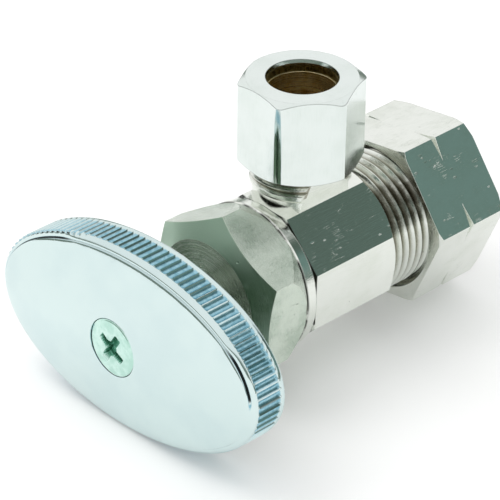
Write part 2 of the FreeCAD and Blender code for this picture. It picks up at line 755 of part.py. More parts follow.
def check_and_export():
    doc.recompute()
    for item in doc.Objects:
        if "Invalid" in item.State or "Error" in item.State:
            raise RuntimeError("failed: %s %s" % (item.Name, item.State))
    os.makedirs("parts", exist_ok=True)
    for item in SUB_PARTS:
        shape = item.Shape
        if shape.isNull() or not shape.isValid() or len(shape.Solids) != 1:
            raise RuntimeError("bad shape: %s, %d solids" % (item.Label, len(shape.Solids)))
        shape.exportStep("parts/%s.step" % item.Label)
        print("%-22s %9.2f mm3" % (item.Label, shape.Volume))


fill_sheet()
add_valve_body()
add_inlet_nut()
add_sleeve("inlet_sleeve", "inlet", "-sizes.inlet_sleeve_inset - sizes.inlet_sleeve_length",
           None, False)
add_outlet_nut()
add_sleeve("outlet_sleeve", "outlet", "-sizes.outlet_reach",
           "sizes.outlet_nut_bottom + sizes.outlet_nut_length - sizes.outlet_sleeve_inset"
           " - sizes.outlet_sleeve_length", True)
add_bonnet_nut()
add_packing()
add_stem()
add_seat_washer()
add_seat_washer_screw()
add_handle()
add_handle_screw()
check_and_export()
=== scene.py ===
import math

import bmesh
import bpy
from mathutils import Matrix, Vector


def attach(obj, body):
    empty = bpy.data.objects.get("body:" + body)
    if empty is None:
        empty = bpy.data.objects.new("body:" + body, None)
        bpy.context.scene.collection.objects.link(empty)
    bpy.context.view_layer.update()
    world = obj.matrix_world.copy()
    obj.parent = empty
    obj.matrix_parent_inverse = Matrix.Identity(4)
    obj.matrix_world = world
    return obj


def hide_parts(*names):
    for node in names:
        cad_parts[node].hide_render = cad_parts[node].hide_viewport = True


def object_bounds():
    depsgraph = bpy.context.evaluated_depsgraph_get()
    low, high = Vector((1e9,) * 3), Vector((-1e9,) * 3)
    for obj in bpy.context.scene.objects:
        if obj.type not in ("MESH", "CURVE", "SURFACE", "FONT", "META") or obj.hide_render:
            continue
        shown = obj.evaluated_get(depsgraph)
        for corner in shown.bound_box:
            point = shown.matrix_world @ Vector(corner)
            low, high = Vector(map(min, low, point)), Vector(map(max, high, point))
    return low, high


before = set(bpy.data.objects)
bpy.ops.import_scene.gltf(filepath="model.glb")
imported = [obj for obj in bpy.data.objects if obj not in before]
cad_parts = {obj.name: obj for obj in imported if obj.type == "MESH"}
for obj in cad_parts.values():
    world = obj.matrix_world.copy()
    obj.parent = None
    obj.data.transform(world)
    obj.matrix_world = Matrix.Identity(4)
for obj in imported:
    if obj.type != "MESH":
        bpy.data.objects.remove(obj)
cad_low, cad_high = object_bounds()

MM = 0.001
OUTLET_Y = -28.6                     # the outlet axis crosses the main axis here, in mm
CROWN_Y = -64.25                     # crown of the handle's dome, in mm
BONNET_FACE, BONNET_REAR = -46.5, -38.0   # ends of the bonnet nut, in mm

# where the painted places on the CAD pieces begin and end, in mm
OUTLET_BORE_TOP = 27.6               # top of the outlet nut's bare bore
OUTLET_SOCKET, OUTLET_CONE = 4.95, 5.8
OUTLET_STOP, OUTLET_CONE_LOW = 12.5, 17.9
MAIN_BORE, MAIN_BORE_FRONT = 9.3, -37.0
BARREL_FRONT, NECK_LOW = -19.5, 12.75     # where the two outside threads begin
COLLAR_LENGTH = 2.0
CONE_RADIUS, CONE_SLOPE = 9.0, 0.55  # the bonnet nut's front cone: where it begins, length over radius


# ---------------------------------------------------------------- camera

def add_camera():
    """A long lens, looking down past the handle's end toward the inlet nut."""
    turn, rise, roll = math.radians(45.37), math.radians(31.65), math.radians(0.77)
    distance, aside, lifted = 420 * MM, -6.85 * MM, 0.37 * MM
    back = Vector((math.sin(turn) * math.cos(rise), -math.cos(turn) * math.cos(rise), math.sin(rise)))
    right = Vector((math.cos(turn), math.sin(turn), 0))
    up = back.cross(right)
    place = back * distance + right * aside + up * lifted + Vector((0, OUTLET_Y * MM, 0))
    across = right * math.cos(roll) + up * math.sin(roll)
    above = up * math.cos(roll) - right * math.sin(roll)
    data = bpy.data.cameras.new("camera")
    data.sensor_width = 36
    data.lens = 213.0012
    data.clip_start, data.clip_end = 0.01, 20
    camera = bpy.data.objects.new("camera", data)
    camera.matrix_world = Matrix.Translation(place) @ Matrix((across, above, back)).transposed().to_4x4()
    bpy.context.scene.collection.objects.link(camera)
    bpy.context.scene.camera = camera


# ---------------------------------------------------------------- material helpers

def linear(red, green, blue):
    """A screen colour, 0 to 255, as the linear colour that a shader takes."""
    values = [v / 255 for v in (red, green, blue)]
    return tuple(v / 12.92 if v <= 0.04045 else ((v + 0.055) / 1.055) ** 2.4 for v in values) + (1.0,)


class Graph:
    """Short calls for building one material's or the world's nodes."""

    def __init__(self, tree):
        self.tree = tree

    def put(self, socket, value):
        if isinstance(value, bpy.types.NodeSocket):
            self.tree.links.new(value, socket)
        elif value is not None:
            socket.default_value = value

    def node(self, kind, out=0, **inputs):
        node = self.tree.nodes.new(kind)
        for name, value in inputs.items():
            if name.startswith("_"):
                setattr(node, name[1:], value)
            else:
                key = name.replace("_", " ")
                self.put(node.inputs[key] if key in node.inputs else node.inputs[int(name[1:])], value)
        return node.outputs[out]

    def math(self, operation, first, second=None, clamp=False):
        node = self.tree.nodes.new("ShaderNodeMath")
        node.operation, node.use_clamp = operation, clamp
        self.put(node.inputs[0], first)
        self.put(node.inputs[1], second)
        return node.outputs[0]

    def vector(self, operation, first, second=None, out=0):
        node = self.tree.nodes.new("ShaderNodeVectorMath")
        node.operation = operation
        self.put(node.inputs[0], first)
        self.put(node.inputs[1], second)
        return node.outputs[out]

    def ramp(self, value, low, high, start=0.0, end=1.0, smooth=True):
        node = self.tree.nodes.new("ShaderNodeMapRange")
        node.interpolation_type = "SMOOTHSTEP" if smooth else "LINEAR"
        for index, item in enumerate((value, low, high, start, end)):
            self.put(node.inputs[index], item)
        return node.outputs[0]

    def mix(self, share, first, second):
        node = self.tree.nodes.new("ShaderNodeMix")
        node.data_type = "RGBA"
        self.put(node.inputs[0], share)
        self.put(node.inputs[6], first)
        self.put(node.inputs[7], second)
        return node.outputs[2]

    def noise(self, place, scale, detail=3.0, rough=0.55, twist=0.0):
        node = self.tree.nodes.new("ShaderNodeTexNoise")
        self.put(node.inputs["Vector"], place)
        self.put(node.inputs["Scale"], scale)
        self.put(node.inputs["Detail"], detail)
        self.put(node.inputs["Roughness"], rough)
        self.put(node.inputs["Distortion"], twist)
        return node.outputs[0]

    def length(self, first, second):
        """The distance from an axis, from the distances along the two others."""
        squares = self.math("ADD", self.math("MULTIPLY", first, first), self.math("MULTIPLY", second, second))
        return self.math("SQRT", squares)

    def split(self, vector):
        node = self.tree.nodes.new("ShaderNodeSeparateXYZ")
        self.put(node.inputs[0], vector)
        return node.outputs

    def join(self, x, y, z):
        node = self.tree.nodes.new("ShaderNodeCombineXYZ")
        for index, item in enumerate((x, y, z)):
            self.put(node.inputs[index], item)
        return node.outputs[0]

    def bump(self, height, distance, strength=1.0, normal=None):
        node = self.tree.nodes.new("ShaderNodeBump")
        self.put(node.inputs["Strength"], strength)
        self.put(node.inputs["Distance"], distance)
        self.put(node.inputs["Height"], height)
        if normal is not None:
            self.put(node.inputs["Normal"], normal)
        return node.outputs[0]


def new_material(name, metallic=1.0):
    """A new material, its graph and its shader's sockets."""
    material = bpy.data.materials.new(name)
    material.use_nodes = True
    graph = Graph(material.node_tree)
    shader = material.node_tree.nodes["Principled BSDF"]
    shader.inputs["Metallic"].default_value = metallic
    return material, graph, shader.inputs


def millimetres(graph):
    """The object's own coordinates, in millimetres."""
    place = graph.node("ShaderNodeTexCoord", out=3)
    return graph.vector("MULTIPLY", place, (1000, 1000, 1000))


def grain(graph, place, axis, turned):
    """Tool marks: rings about the axis where the metal was turned, else long lines along it."""
    x, y, z = graph.split(place)
    along, side_a, side_b = (y, x, z) if axis == "Y" else (z, x, graph.math("SUBTRACT", y, OUTLET_Y))
    if turned:
        radius = graph.length(side_a, side_b)
        lines = graph.join(graph.math("MULTIPLY", radius, 6.0), graph.math("MULTIPLY", along, 6.0), 0.0)
        return graph.noise(lines, 1.6, 3.0, 0.65)
    lines = graph.join(graph.math("MULTIPLY", side_a, 5.0), graph.math("MULTIPLY", side_b, 5.0),
                       graph.math("MULTIPLY", along, 0.35))
    return graph.noise(lines, 1.2, 4.0, 0.6)


def scratches(graph, place, amount):
    """Fine handling scratches: thin bands of two stretched noises, broken up by a third."""
    total = None
    for turn, stretch in (((0.4, 0.9, 0.2), 0.9), ((1.2, 0.3, 0.8), 1.3)):
        scale = (stretch, stretch * 0.12, stretch)
        mapped = graph.node("ShaderNodeMapping", Vector=place, Rotation=turn, Scale=scale)
        band = graph.math("ABSOLUTE", graph.math("SUBTRACT", graph.noise(mapped, 1.1, 1.0, 0.4, 0.6), 0.5))
        line = graph.ramp(band, 0.0, 0.006, 1.0, 0.0)
        total = line if total is None else graph.math("MAXIMUM", total, line)
    broken = graph.ramp(graph.noise(place, 0.45, 2.0), 0.52, 0.68)
    return graph.math("MULTIPLY", graph.math("MULTIPLY", total, broken), amount)


def dents(graph, place, share):
    """Small nicks from handling: short marks in a share of the cells of two stretched patterns."""
    total = None
    for turn, stretch in (((0.3, 0.5, 0.9), 0.55), ((0.9, 1.1, 0.2), 0.8)):
        scale = (stretch, stretch * 0.35, stretch)
        mapped = graph.node("ShaderNodeMapping", Vector=place, Rotation=turn, Scale=scale)
        node = graph.tree.nodes.new("ShaderNodeTexVoronoi")
        graph.put(node.inputs["Vector"], mapped)
        node.inputs["Scale"].default_value = 1.0
        chosen = graph.ramp(graph.split(node.outputs["Color"])[0], 1 - share, 1 - share * 0.9)
        mark = graph.math("MULTIPLY", graph.ramp(node.outputs["Distance"], 0.04, 0.1, 1.0, 0.0), chosen)
        total = mark if total is None else graph.math("MAXIMUM", total, mark)
    return total


def edge_lines(graph, width):
    """1 along sharp edges, from how far a rounded normal leans away from the surface's own."""
    rounded = graph.node("ShaderNodeBevel", Radius=width * MM, _samples=8)
    own = graph.node("ShaderNodeNewGeometry", out=1)
    return graph.ramp(graph.vector("DOT_PRODUCT", rounded, own, out=1), 0.9, 0.985, 1.0, 0.0)


def cover(graph, surface, share, colour, extra_dull):
    """A surface, as its colour and roughness, with another laid over a share of it."""
    base, dull = surface
    return graph.mix(share, base, colour), graph.math("ADD", dull, graph.math("MULTIPLY", share, extra_dull))


def plated(name, colour, stain, rough, axis="Y", turned=False, grain_depth=0.012, scratch=0.5, nicks=0.3,
           edge=0.1, inside=None, edge_line_paint=None, patches=()):
    """Plated metal with tool marks, faint staining, scratches, nicks and softened edges."""
    material, graph, sockets = new_material(name)
    place = millimetres(graph)
    marks = grain(graph, place, axis, turned)
    cloud = graph.noise(place, 0.22, 4.0, 0.6)
    lines = scratches(graph, place, scratch)
    pits = dents(graph, place, nicks)
    stained = graph.math("ADD", graph.math("MULTIPLY", cloud, 0.7), graph.math("MULTIPLY", marks, 0.3))
    base = graph.mix(graph.ramp(stained, 0.42, 0.66), colour, stain)
    mixed = graph.math("ADD", graph.math("MULTIPLY", marks, 0.5), graph.math("MULTIPLY", cloud, 0.5))
    dull = graph.math("ADD", graph.ramp(mixed, 0.35, 0.65, *rough), graph.math("MULTIPLY", lines, 0.15))
    surface = base, dull
    for mask, patch_colour, patch_dull in patches:
        surface = cover(graph, surface, mask(graph, place), patch_colour, patch_dull)
    # lines along sharp edges in a given colour, with more roughness: a painted highlight where the colour is
    # light, painted shade where it is dark
    if edge_line_paint:
        edge_line_colour, line_width, line_dull = edge_line_paint
        surface = cover(graph, surface, edge_lines(graph, line_width), edge_line_colour, line_dull)
    if inside:
        mask, bare, bare_dark = inside
        metal = graph.mix(graph.ramp(graph.noise(place, 1.8, 3.0), 0.4, 0.62), bare, bare_dark)
        surface = cover(graph, surface, mask(graph, place), metal, 0.18)
    graph.put(sockets["Base Color"], surface[0])
    graph.put(sockets["Roughness"], surface[1])
    soft = graph.node("ShaderNodeBevel", Radius=edge * MM, _samples=4)
    height = graph.math("SUBTRACT", graph.math("SUBTRACT", marks, graph.math("MULTIPLY", lines, 0.8)),
                        graph.math("MULTIPLY", pits, 2.2))
    graph.put(sockets["Normal"], graph.bump(height, grain_depth * MM, 1.0, soft))
    return material


# ---------------------------------------------------------------- masks for painted places

def near_axis(graph, across, other, radius):
    """1 within a radius of an axis, from the two distances across it."""
    return graph.ramp(graph.length(across, other), radius - 0.04, radius + 0.04, 1.0, 0.0)


def groove(graph, out, bottom, full, clear):
    """1 between a thread's bottom and where its groove is still deep, falling to 0 at its crests."""
    return graph.math("MULTIPLY", graph.ramp(out, full, clear, 1.0, 0.0),
                      graph.ramp(out, bottom, bottom + 0.1))


def outlet_bore(graph, place):
    """1 inside the outlet nut, below its countersink."""
    x, y, z = graph.split(place)
    return graph.math("MULTIPLY", near_axis(graph, x, graph.math("SUBTRACT", y, OUTLET_Y), 6.5),
                      graph.ramp(z, OUTLET_BORE_TOP, OUTLET_BORE_TOP + 0.15, 1.0, 0.0))


def body_bores(graph, place):
    """1 in the body's waterways: up the outlet's socket, and along the main axis behind the front boss."""
    x, y, z = graph.split(place)
    aside = graph.math("SUBTRACT", y, OUTLET_Y)
    socket = graph.math("MULTIPLY", near_axis(graph, x, aside, OUTLET_SOCKET),
                        graph.ramp(z, OUTLET_STOP, OUTLET_STOP + 0.1))
    mouth = graph.math("MULTIPLY", near_axis(graph, x, aside, OUTLET_CONE),
                       graph.ramp(z, OUTLET_CONE_LOW, OUTLET_CONE_LOW + 0.1))
    along = graph.math("MULTIPLY", near_axis(graph, x, z, MAIN_BORE),
                       graph.ramp(y, MAIN_BORE_FRONT, MAIN_BORE_FRONT + 0.1))
    return graph.math("MAXIMUM", graph.math("MAXIMUM", socket, mouth), along)


def thread_groove_shade(graph, place):
    """1 deep in the grooves of the body's two outside threads, where shade is painted."""
    x, y, z = graph.split(place)
    aside = graph.math("SUBTRACT", y, OUTLET_Y)
    barrel = graph.math("MULTIPLY", groove(graph, graph.length(x, z), 9.3, 9.55, 10.2),
                        graph.ramp(y, BARREL_FRONT, BARREL_FRONT + 0.2))
    neck = graph.math("MULTIPLY", groove(graph, graph.length(x, aside), 6.35, 6.55, 7.05),
                      graph.ramp(z, NECK_LOW, NECK_LOW + 0.15))
    return graph.math("MULTIPLY", graph.math("MAXIMUM", barrel, neck), 0.7)


def thread_dark_reflection(graph, place):
    """1 along one side of the barrel's thread, where a dark reflection is painted on."""
    x, y, z = graph.split(place)
    across = graph.vector("NORMALIZE", graph.join(x, 0.0, z))
    side = graph.ramp(graph.vector("DOT_PRODUCT", across, (0.755, 0, 0.656), out=1), 0.9, 0.985)
    blotch = graph.ramp(graph.noise(place, 0.5, 3.0), 0.3, 0.6, 0.35, 0.8)
    return graph.math("MULTIPLY", graph.math("MULTIPLY", side, blotch),
                      graph.ramp(y, BARREL_FRONT - 0.1, BARREL_FRONT + 0.1))


def seam(graph, y, station, width):
    """1 along a ring at a station on the main axis."""
    away = graph.math("ABSOLUTE", graph.math("SUBTRACT", y, station))
    return graph.ramp(away, width * 0.4, width, 1.0, 0.0)


def seam_shade(graph, place):
    """1 in the seams on either side of the body's collar, where shade is painted, broken up along their
    length.
    """
    y = graph.split(place)[1]
    total = graph.math("MAXIMUM", seam(graph, y, BONNET_REAR, 0.42),
                       seam(graph, y, BONNET_REAR + COLLAR_LENGTH, 0.3))
    return graph.math("MULTIPLY", total, graph.ramp(graph.noise(place, 0.35, 3.0), 0.38, 0.52))


def rear_seam_shade(graph, place):
    """1 on the bonnet nut's rear edge, where shade is painted, broken up."""
    y = graph.split(place)[1]
    return graph.math("MULTIPLY", seam(graph, y, BONNET_REAR, 0.22),
                      graph.ramp(graph.noise(place, 0.35, 3.0), 0.4, 0.55))


def front_cone_shade(graph, place):
    """1 on the cone turned on the bonnet nut's front corners, which gets painted shade."""
    x, y, z = graph.split(place)
    out = graph.length(x, z)
    behind_face = graph.math("MULTIPLY", graph.math("SUBTRACT", out, CONE_RADIUS), CONE_SLOPE)
    inward = graph.math("SUBTRACT", y, graph.math("ADD", behind_face, BONNET_FACE))
    return graph.math("MULTIPLY", graph.ramp(inward, 0.03, 0.12, 1.0, 0.0),
                      graph.ramp(out, CONE_RADIUS - 0.05, CONE_RADIUS + 0.05))


# ---------------------------------------------------------------- brass and rubber

def brass(name, colour, dark, axis="Y", rough=(0.12, 0.3)):
    """Turned brass, a little uneven in colour."""
    material, graph, sockets = new_material(name)
    place = millimetres(graph)
    marks = grain(graph, place, axis, True)
    cloud = graph.noise(place, 0.6, 3.0)
    graph.put(sockets["Base Color"], graph.mix(graph.ramp(cloud, 0.4, 0.65), colour, dark))
    graph.put(sockets["Roughness"], graph.ramp(marks, 0.35, 0.65, *rough))
    soft = graph.node("ShaderNodeBevel", Radius=0.12 * MM, _samples=4)
    graph.put(sockets["Normal"], graph.bump(marks, 0.01 * MM, 1.0, soft))
    return material


def rubber():
    material, graph, sockets = new_material("rubber", 0.0)
    place = millimetres(graph)
    cloud = graph.noise(place, 1.5, 4.0)
    graph.put(sockets["Base Color"], graph.mix(cloud, linear(20, 20, 21), linear(46, 45, 44)))
    graph.put(sockets["Roughness"], graph.ramp(cloud, 0.3, 0.7, 0.45, 0.7))
    graph.put(sockets["Normal"], graph.bump(graph.noise(place, 9.0, 3.0), 0.02 * MM))
    return material


# ---------------------------------------------------------------- handle

FLUTES = 108
PER_FLUTE = 8
LONG, SHORT = 25.42, 14.27           # outline over the flutes' crests
FACE_LONG, FACE_SHORT = 24.44, 13.12  # edge of the dome
DOME_DEPTH, DOME_EDGE = 6.0, 2.0
SEAT_RADIUS, SEAT_DEPTH = 4.3, 1.5   # where the screw's head lies
FLUTE_DEPTH, FLUTE_SHAPE = 0.4, 2.4  # a higher shape gives a flatter valley and a narrower crest
FLUTE_FRONT, FLUTE_BACK = (2.9, 3.3), (6.95, 7.3)   # where the flutes deepen and where they run out
STEP_FOOT, STEP_SHARE = 0.26, 1.14   # the step's width, and its full depth over that of its wall
SHOULDER_END = 2.88                  # depth of the shoulder's outer edge
HANDLE_TURN = math.radians(3)
LIP_DEPTH, HUB_DEPTH, HUB_RADIUS = 7.88, 12.48, 5.38
HOLLOW_INSET, HOLLOW_DEPTH = 2.0, 4.7
SQUARE_HALF, SQUARE_DEPTH = 2.55, 4.0
# the flute kind gets painted shade and a painted blue reflection, the shaded recess kind painted black shade,
# the back kind painted shade on its dull die-cast metal
WORN, FLUTE, SHADED_RECESS, BACK = 0.0, 1.0, 2.0, 3.0   # kinds of surface on the handle, kept as an attribute


def even_angles(count):
    """Parameter angles that space points evenly along the oval's outline."""
    steps = 7200
    lengths, last, total = [0.0], (LONG, 0.0), 0.0
    for index in range(1, steps + 1):
        angle = 2 * math.pi * index / steps
        place = (LONG * math.cos(angle), SHORT * math.sin(angle))
        total += math.dist(place, last)
        lengths.append(total)
        last = place
    angles, cursor = [], 0
    for index in range(count):
        target = total * index / count
        while lengths[cursor + 1] < target:
            cursor += 1
        share = (target - lengths[cursor]) / (lengths[cursor + 1] - lengths[cursor])
        angles.append(2 * math.pi * (cursor + share) / steps)
    return angles


def smooth(value, low, high):
    """0 below one value and 1 above the other, with a smooth rise between."""
    share = min(1.0, max(0.0, (value - low) / (high - low)))
    return share * share * (3 - 2 * share)


def dome(x, z):
    """Depth of the dome behind its crown."""
    fall = 1 - ((DOME_DEPTH - DOME_EDGE) / DOME_DEPTH) ** 2
    inside = 1 - fall * ((x / FACE_LONG) ** 2 + (z / FACE_SHORT) ** 2)
    return DOME_DEPTH - DOME_DEPTH * math.sqrt(max(0.0, inside))


class Rings:
    """Rings of (x, behind the crown, z) in mm round the handle's axis, each with its kinds of surface."""

    def __init__(self, angles):
        self.around = [(math.cos(a), math.sin(a)) for a in angles]
        self.rows = []

    def add(self, ring, kinds=WORN):
        self.rows.append([(point, kinds if isinstance(kinds, float) else kinds[index])
                          for index, point in enumerate(ring)])

    def circle(self, radius, depth, kind=WORN):
        """A circle, at a depth or, where that is None, just behind the dome's surface."""
        ring = []
        for c, s in self.around:
            length = math.hypot(LONG * c, SHORT * s)
            x, z = radius * LONG * c / length, radius * SHORT * s / length
            ring.append((x, dome(x, z) + 0.02 if depth is None else depth, z))
        self.add(ring, kind)

    def oval(self, long_radius, short_radius, depth, kind=WORN):
        """An oval, at one depth or at a depth for each of its points."""
        deep = depth if callable(depth) else lambda c, s: depth
        self.add([(long_radius * c, deep(c, s), short_radius * s) for c, s in self.around], kind)

    def square(self, half, depth, kind=WORN):
        ring = []
        for c, s in self.around:
            reach = max(abs(LONG * c), abs(SHORT * s))
            ring.append((half * LONG * c / reach, depth, half * SHORT * s / reach))
        self.add(ring, kind)


def face_rings(rings):
    """The screw's seat and the dome, whose rings change from circles to the oval of its edge."""
    # the screw's seat gets painted black shade
    for radius, depth in ((1.9, SEAT_DEPTH), (SEAT_RADIUS, SEAT_DEPTH), (SEAT_RADIUS + 0.01, 0.3),
                          (SEAT_RADIUS + 0.03, 0.2)):
        rings.circle(radius, depth, SHADED_RECESS)
    last_circle = 6.0
    for radius in (4.37, 4.6, 4.8, 5.3, last_circle):
        rings.circle(radius, None)
    count = 22
    for index in range(1, count + 1):
        share = index / count
        ring = []
        for c, s in rings.around:
            length = math.hypot(LONG * c, SHORT * s)
            start = (last_circle * LONG * c / length, last_circle * SHORT * s / length)
            x = start[0] + (FACE_LONG * c - start[0]) * share
            z = start[1] + (FACE_SHORT * s - start[1]) * share
            ring.append((x, dome(x, z), z))
        rings.add(ring)


def shade_along(c, s):
    """How much the step deepens and how much shade is painted on its wall: at one end's upper side, and over
    the other end.
    """
    return max(smooth(c, 0.8, 0.9) * smooth(s, -0.05, 0.1), smooth(-c, 0.35, 0.5) * smooth(s, 0.35, 0.5))


def step_depth(c, s):
    """Depth of the wall of the step down round the dome."""
    return 0.2 + 0.24 * shade_along(c, s)


def teeth(c, s):
    """How far the flutes run out through the shoulder's edge: over one end."""
    return smooth(-c, 0.2, 0.5) * smooth(s, -0.1, 0.1)


def shoulder_rings(rings):
    """The step down round the dome and the smooth shoulder that rolls over outside it."""
    # painted shade on the step's wall: black at the ends where shade_along is high, lighter between, and none
    # on the lower side
    walls = [(SHADED_RECESS - 0.45 + 0.45 * shade_along(c, s)) * smooth(s, -0.05, 0.12) for c, s in rings.around]
    for out, share, kinds in ((0.03, 0.1, WORN), (0.06, 0.3, walls), (0.1, 0.75, walls), (0.14, 1.0, walls),
                              (0.2, 1.08, walls), (STEP_FOOT, STEP_SHARE, WORN)):
        rings.oval(FACE_LONG + out, FACE_SHORT + out,
                   lambda c, s: DOME_EDGE + step_depth(c, s) * share, kinds)
    for out in (0.15, 0.3, 0.45, 0.6, 0.75, 0.86, 0.95):
        rim_ring(rings, out, lambda c, s: shoulder_depth(c, s, out))


def shoulder_depth(c, s, out):
    """Depth of the shoulder, from the foot of the step, where out is 0, to the rim, where it is 1."""
    rise = SHOULDER_END - DOME_EDGE - STEP_SHARE * step_depth(c, s)
    return SHOULDER_END - rise * (1 - out ** 1.6)


def rim_ring(rings, out, depth):
    """A ring on the shoulder or the rim, pressed in at each flute; out is 1 on the rim."""
    long_radius = FACE_LONG + STEP_FOOT + (LONG - FACE_LONG - STEP_FOOT) * out
    short_radius = FACE_SHORT + STEP_FOOT + (SHORT - FACE_SHORT - STEP_FOOT) * out
    ring, kinds = [], []
    for index, (c, s) in enumerate(rings.around):
        deep = depth(c, s)
        phase = (index % PER_FLUTE) / PER_FLUTE
        valley = 1 - abs(2 * phase - 1) ** FLUTE_SHAPE
        open_front = max(smooth(deep, *FLUTE_FRONT), teeth(c, s) * smooth(out, 0.5, 0.9))
        pressed = valley * open_front * (1 - smooth(deep, *FLUTE_BACK))
        nx, nz = SHORT * c, LONG * s
        size = math.hypot(nx, nz)
        ring.append((long_radius * c - FLUTE_DEPTH * pressed * nx / size, deep,
                     short_radius * s - FLUTE_DEPTH * pressed * nz / size))
        # where the flutes' open ends cut through the shoulder, their valleys get painted black shade
        kind = FLUTE + (SHADED_RECESS - FLUTE) * teeth(c, s) * (1 - smooth(deep, 2.95, 3.2))
        kinds.append(kind * smooth(pressed, 0.25, 0.75))
    rings.add(ring, kinds)


def flute_rings(rings):
    """Rounded valleys between narrow crests, ending short of a plain lip at the back."""
    front_end = (2.95, 3.0, 3.06, 3.13, 3.22, 3.34, 3.5, 3.8)
    back_end = (6.7, 6.95, 7.08, 7.18, 7.26, 7.36, 7.6)
    for deep in (*front_end, 4.5, 5.3, 6.1, *back_end):
        rim_ring(rings, 1.0, lambda c, s: deep)


def back_rings(rings):
    """The lip, the hollow back and the hub with its square hole."""
    for inset, depth, kind in ((0.06, LIP_DEPTH - 0.08, WORN), (0.2, LIP_DEPTH, WORN), (1.7, LIP_DEPTH, WORN),
                               (HOLLOW_INSET - 0.05, LIP_DEPTH - 0.08, BACK),
                               (HOLLOW_INSET, LIP_DEPTH - 0.18, BACK),
                               (HOLLOW_INSET, HOLLOW_DEPTH + 0.5, BACK),
                               (2.15, HOLLOW_DEPTH + 0.15, BACK), (2.6, HOLLOW_DEPTH, BACK)):
        rings.oval(LONG - inset, SHORT - inset, depth, kind)
    for radius, depth in ((6.2, HOLLOW_DEPTH), (5.6, HOLLOW_DEPTH + 0.15), (HUB_RADIUS, HOLLOW_DEPTH + 0.6),
                          (HUB_RADIUS, HUB_DEPTH - 0.28), (5.1, HUB_DEPTH), (4.0, HUB_DEPTH)):
        rings.circle(radius, depth, BACK)
    for half, depth in ((SQUARE_HALF + 0.05, HUB_DEPTH), (SQUARE_HALF, HUB_DEPTH - 0.08),
                        (SQUARE_HALF, SQUARE_DEPTH)):
        rings.square(half, depth, BACK)


def skin(rows, spin, origin):
    """A closed mesh over rows of ((x, behind, z), kind) points in mm, turned about Y and moved along it."""
    data = bmesh.new()
    kind_layer = data.verts.layers.float.new("kind")
    turn = Matrix.Rotation(spin, 3, "Y")
    built = []
    for row in rows:
        line = []
        for (x, depth, z), kind in row:
            place = turn @ Vector((x, 0, z)) * MM + Vector((0, (origin + depth) * MM, 0))
            vertex = data.verts.new(place)
            vertex[kind_layer] = kind
            line.append(vertex)
        built.append(line)
    count = len(rows[0])
    for near, far in zip(built, built[1:]):
        for index in range(count):
            follower = (index + 1) % count
            data.faces.new((near[index], near[follower], far[follower], far[index]))
    data.faces.new(list(reversed(built[0])))
    data.faces.new(built[-1])
    return data


def finish_mesh(name, data, sharp):
    """An object with smooth faces and sharp edges above an angle, in degrees."""
    bmesh.ops.recalc_face_normals(data, faces=data.faces)
    for face in data.faces:
        face.smooth = True
    mesh = bpy.data.meshes.new(name)
    data.to_mesh(mesh)
    data.free()
    mesh.set_sharp_from_angle(angle=math.radians(sharp))
    piece = bpy.data.objects.new(name, mesh)
    bpy.context.scene.collection.objects.link(piece)
    return piece


def chrome():
    """Bright chrome: clear on the face and crests, satin in the flutes with painted shade and a painted blue
    reflection, painted black shade in the step and other recesses, and dull die-cast metal with painted shade
    behind.
    """
    material, graph, sockets = new_material("bright_chrome")
    place = millimetres(graph)
    node = graph.tree.nodes.new("ShaderNodeAttribute")
    node.attribute_name = "kind"
    kind = node.outputs["Fac"]
    flute = graph.math("MULTIPLY", graph.ramp(kind, 0.0, 1.0), graph.ramp(kind, 1.0, 1.6, 1.0, 0.0))
    recess_shade = graph.math("MULTIPLY", graph.ramp(kind, 1.4, 2.0), graph.ramp(kind, 2.0, 2.6, 1.0, 0.0))
    back = graph.ramp(kind, 2.4, 3.0)
    cloud = graph.noise(place, 0.12, 3.0)
    grime = graph.noise(place, 1.4, 4.0, 0.65)
    lines = scratches(graph, place, 0.5)
    face = graph.mix(graph.ramp(cloud, 0.35, 0.65), linear(209, 225, 224), linear(204, 221, 221))
    # the flute valleys: satin, with painted shade and a painted blue reflection
    valley = graph.mix(graph.ramp(grime, 0.4, 0.65), linear(158, 200, 214), linear(128, 176, 192))
    # the hollow back: dull die-cast metal, darkened further as painted shade
    cast = graph.mix(graph.ramp(grime, 0.35, 0.7), linear(108, 132, 108), linear(78, 98, 80))
    dull = graph.math("ADD", graph.ramp(cloud, 0.3, 0.7, 0.06, 0.12), graph.math("MULTIPLY", lines, 0.12))
    surface = face, dull
    # painted black shade for the step, the screw's seat and the flutes' open ends
    shade_black = linear(34, 40, 40)
    for share, colour, extra in ((flute, valley, 0.24), (recess_shade, shade_black, 0.35), (back, cast, 0.32)):
        surface = cover(graph, surface, share, colour, extra)
    graph.put(sockets["Base Color"], surface[0])
    graph.put(sockets["Roughness"], surface[1])
    fine = graph.math("MULTIPLY", graph.noise(place, 5.0, 3.0), 0.03)
    ripple = graph.math("ADD", graph.noise(place, 0.35, 2.0), fine)
    rough_cast = graph.math("MULTIPLY", graph.math("MULTIPLY", grime, back), 0.8)
    height = graph.math("ADD", graph.math("SUBTRACT", ripple, graph.math("MULTIPLY", lines, 0.1)), rough_cast)
    graph.put(sockets["Normal"], graph.bump(height, 0.03 * MM))
    return material


def add_handle():
    """The handle's mesh, laid ring by ring from the middle of the face to the square hole."""
    rings = Rings(even_angles(FLUTES * PER_FLUTE))
    face_rings(rings)
    shoulder_rings(rings)
    flute_rings(rings)
    back_rings(rings)
    piece = finish_mesh("handle_fluted", skin(rings.rows, -HANDLE_TURN, CROWN_Y), 50)
    piece.data.materials.append(chrome())
    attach(piece, "stem_and_handle")
    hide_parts("handle")


# ---------------------------------------------------------------- handle screw

